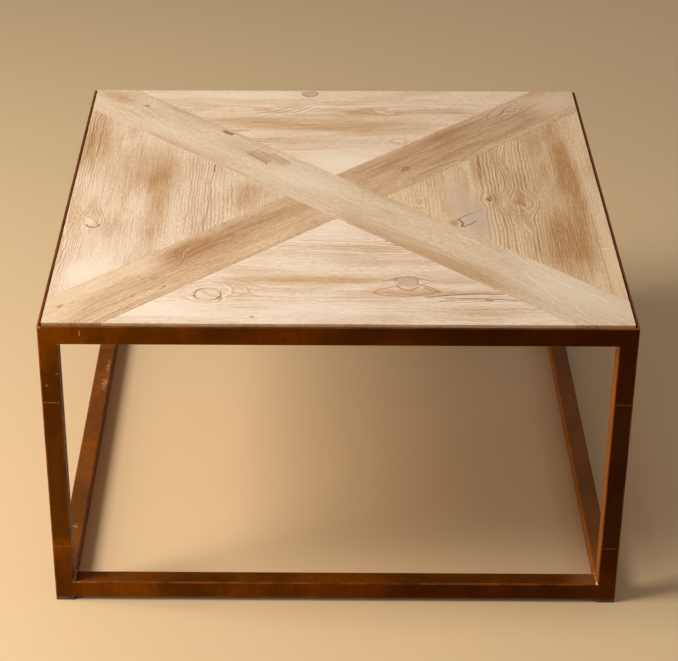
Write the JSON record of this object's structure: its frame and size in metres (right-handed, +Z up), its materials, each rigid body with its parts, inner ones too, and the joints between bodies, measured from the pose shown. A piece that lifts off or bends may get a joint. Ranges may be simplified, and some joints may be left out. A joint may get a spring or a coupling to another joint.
{
  "type": "coffee table",
  "caption": "Square low table: reclaimed-board top with an inlaid diagonal cross, set in a welded cube frame of rust-brown steel angle and square tube on plastic foot caps.",
  "frame": {"origin": "on the floor, under the middle of the table", "axes": "+Z up; -Y is the front, the side the cross's unbroken board reaches at its right-hand end; +X is right seen from the front"},
  "size_m": [0.75, 0.75, 0.425],
  "materials": {
    "rust_patina_steel": "mild steel with a brown rust patina under clear satin lacquer",
    "foot_plastic": "moulded dark grey-brown plastic, scuffed",
    "reclaimed_brown_board": "old brown softwood, brushed, matt oil",
    "reclaimed_pine": "old pale pine, brushed so that the grain stands up, matt oil",
    "birch_plywood": "sanded birch plywood, bare",
    "zinc_screw": "zinc-plated steel"
  },
  "bodies": {
    "root": {"top_rail_front": "rust_patina_steel", "top_rail_right": "rust_patina_steel", "top_rail_back": "rust_patina_steel", "top_rail_left": "rust_patina_steel", "leg_front_left": "rust_patina_steel", "leg_front_right": "rust_patina_steel", "leg_back_right": "rust_patina_steel", "leg_back_left": "rust_patina_steel", "base_rail_front": "rust_patina_steel", "base_rail_right": "rust_patina_steel", "base_rail_back": "rust_patina_steel", "base_rail_left": "rust_patina_steel", "foot_cap_front_left": "foot_plastic", "foot_cap_front_right": "foot_plastic", "foot_cap_back_right": "foot_plastic", "foot_cap_back_left": "foot_plastic", "long_diagonal_board": "reclaimed_brown_board", "half_diagonal_board_front_left": "reclaimed_brown_board", "half_diagonal_board_back_right": "reclaimed_brown_board", "panel_front": "reclaimed_pine", "panel_right": "reclaimed_pine", "panel_back": "reclaimed_pine", "panel_left": "reclaimed_pine", "plywood_backing": "birch_plywood", "screw_front_1": "zinc_screw", "screw_front_2": "zinc_screw", "screw_right_1": "zinc_screw", "screw_right_2": "zinc_screw", "screw_back_1": "zinc_screw", "screw_back_2": "zinc_screw", "screw_left_1": "zinc_screw", "screw_left_2": "zinc_screw"}
  },
  "joints": []
}
